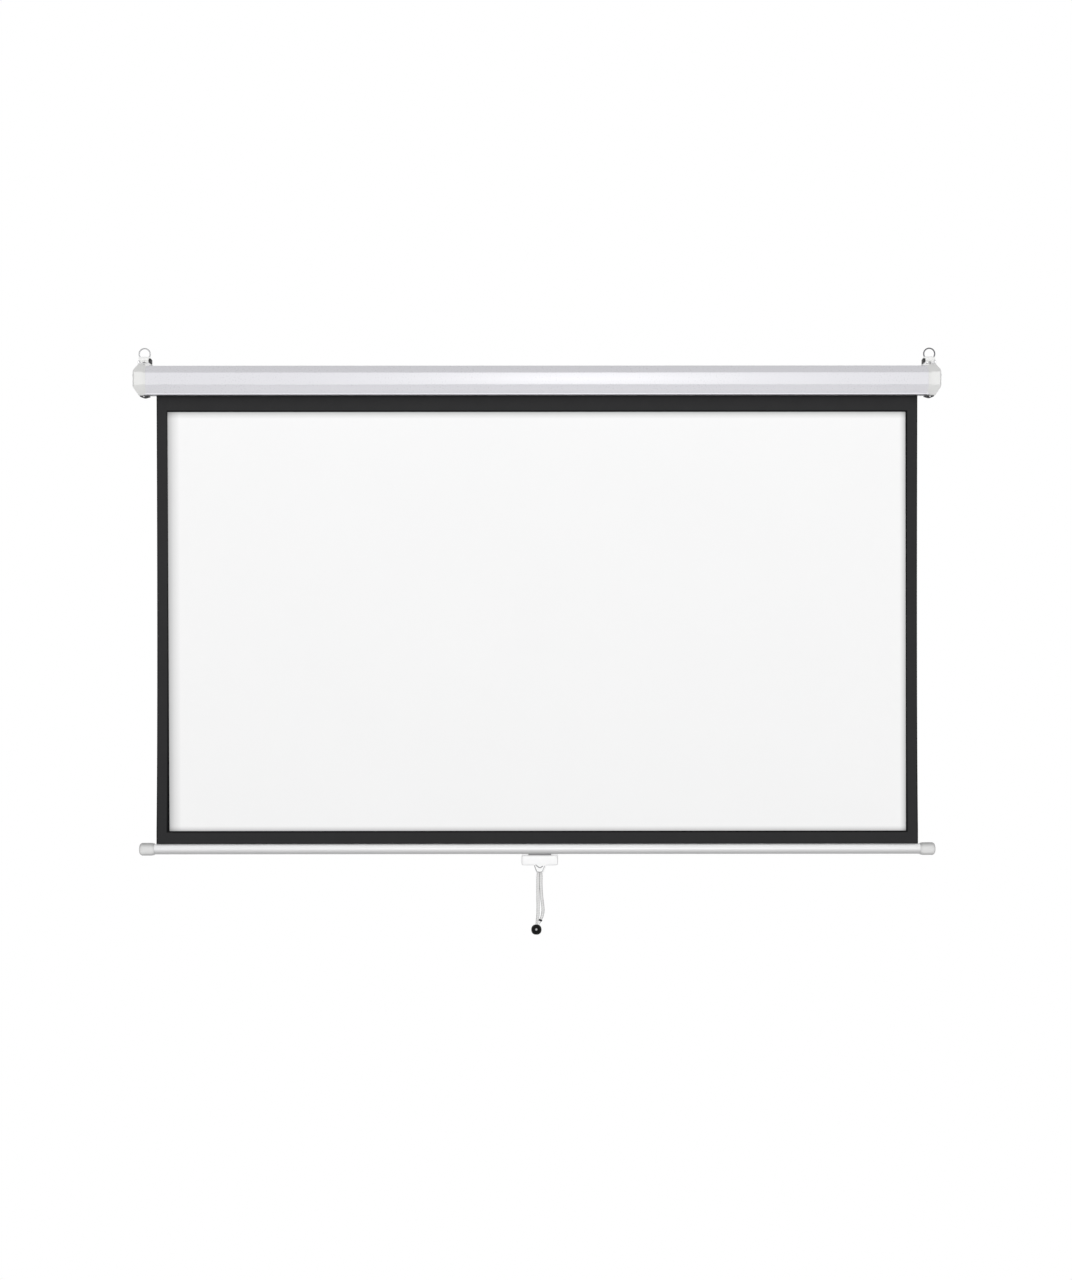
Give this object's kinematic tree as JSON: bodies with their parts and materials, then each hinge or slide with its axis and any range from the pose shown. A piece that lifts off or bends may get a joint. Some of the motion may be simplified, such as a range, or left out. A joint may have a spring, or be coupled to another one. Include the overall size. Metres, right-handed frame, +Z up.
{
  "type": "pull down projector screen",
  "caption": "Wall or ceiling hung projection screen in an eight-sided white case, with a black-bordered matt white cloth on a spring roller, a weight bar, and a pull handle with cord and ball.",
  "frame": {"origin": "midway between the middles of the two hanging loops' eyes", "axes": "+X to the viewer's right along the case, +Y from the viewer towards the wall, +Z up; the screen hangs down along -Z"},
  "size_m": [2.029, 0.079, 1.4769],
  "materials": {
    "case_enamel": "white enamel, semi-gloss",
    "white_plastic": "moulded, semi-gloss",
    "bright_steel": "bright nickel plate",
    "galvanised_steel": "galvanised",
    "spring_steel": "oiled, dark",
    "black_plastic": "smooth, black",
    "black_rubber": "matt",
    "nylon": "moulded, natural",
    "black_cloth": "coated glass cloth, black, fine weave",
    "viewing_coat": "matt white",
    "bar_enamel": "pale grey enamel, semi-gloss",
    "white_cord": "braided"
  },
  "bodies": {
    "case": {"case_shell": "case_enamel", "end_cap_left": "white_plastic", "end_cap_right": "white_plastic", "cap_screw_left_front": "bright_steel", "cap_screw_left_rear": "bright_steel", "cap_screw_right_front": "bright_steel", "cap_screw_right_rear": "bright_steel", "end_bracket_left": "galvanised_steel", "end_bracket_right": "galvanised_steel", "idle_bush": "nylon", "bumper_left": "black_rubber", "bumper_right": "black_rubber", "hanger_seat_left": "bright_steel", "hanger_seat_right": "bright_steel", "hinge_block_left": "black_plastic", "hinge_block_right": "black_plastic", "loop_pin_left": "bright_steel", "loop_pin_right": "bright_steel", "hanger_screw_left": "black_plastic", "hanger_screw_right": "black_plastic", "spring_shaft": "galvanised_steel", "spring_anchor": "nylon", "torsion_spring": "spring_steel", "ratchet_wheel": "galvanised_steel", "screen_cloth": "black_cloth", "viewing_coat": "viewing_coat"},
    "loop_left": {"hanging_loop_left": "bright_steel"},
    "loop_right": {"hanging_loop_right": "bright_steel"},
    "roller": {"roller_tube": "galvanised_steel", "wound_cloth": "black_cloth", "roller_plug_left": "nylon", "roller_plug_right": "nylon", "idle_pin": "galvanised_steel", "pawl_pin_upper": "galvanised_steel", "pawl_pin_lower": "galvanised_steel"},
    "upper_pawl": {"pawl_upper": "galvanised_steel"},
    "lower_pawl": {"pawl_lower": "galvanised_steel"},
    "bar": {"hem_strip": "black_cloth", "weight_bar": "bar_enamel", "weight_rod": "galvanised_steel", "bar_cap_left": "white_plastic", "bar_cap_right": "white_plastic", "pull_handle": "white_plastic", "handle_screw_left": "bright_steel", "handle_screw_right": "bright_steel"},
    "pull_cord": {"cord_strand_left": "white_cord", "cord_strand_right": "white_cord", "cord_tail": "white_cord", "cord_crimp": "spring_steel", "pull_ball": "black_plastic"}
  },
  "joints": [
    {"name": "screen_slide", "type": "slide", "parent": "case", "child": "bar", "axis": [0, 0, 1], "range_m": [0, 1.1203], "deforming": ["screen_cloth", "viewing_coat"]},
    {"name": "roller_turn", "type": "hinge", "parent": "case", "child": "roller", "pos_m": [0, -0.007, -0.0658], "axis": [1, 0, 0], "continuous": true},
    {"name": "upper_pawl_drop", "type": "hinge", "parent": "roller", "child": "upper_pawl", "pos_m": [0.9748, -0.007, -0.0523], "axis": [1, 0, 0], "range_deg": [0, 15]},
    {"name": "lower_pawl_drop", "type": "hinge", "parent": "roller", "child": "lower_pawl", "pos_m": [0.9748, -0.007, -0.0793], "axis": [1, 0, 0], "range_deg": [0, 15]},
    {"name": "cord_swing", "type": "hinge", "parent": "bar", "child": "pull_cord", "pos_m": [0.006, 0.0135, -1.3034], "axis": [1, 0, 0], "range_deg": [-35, 35]},
    {"name": "loop_fold_left", "type": "hinge", "parent": "case", "child": "loop_left", "pos_m": [-0.9865, 0, -0.0195], "axis": [1, 0, 0], "range_deg": [-80, 0]},
    {"name": "loop_fold_right", "type": "hinge", "parent": "case", "child": "loop_right", "pos_m": [0.9865, 0, -0.0195], "axis": [1, 0, 0], "range_deg": [-80, 0]}
  ],
  "couplings": [
    {"joint": "roller_turn", "follows": "screen_slide", "rad_per_m": 46.27}
  ]
}
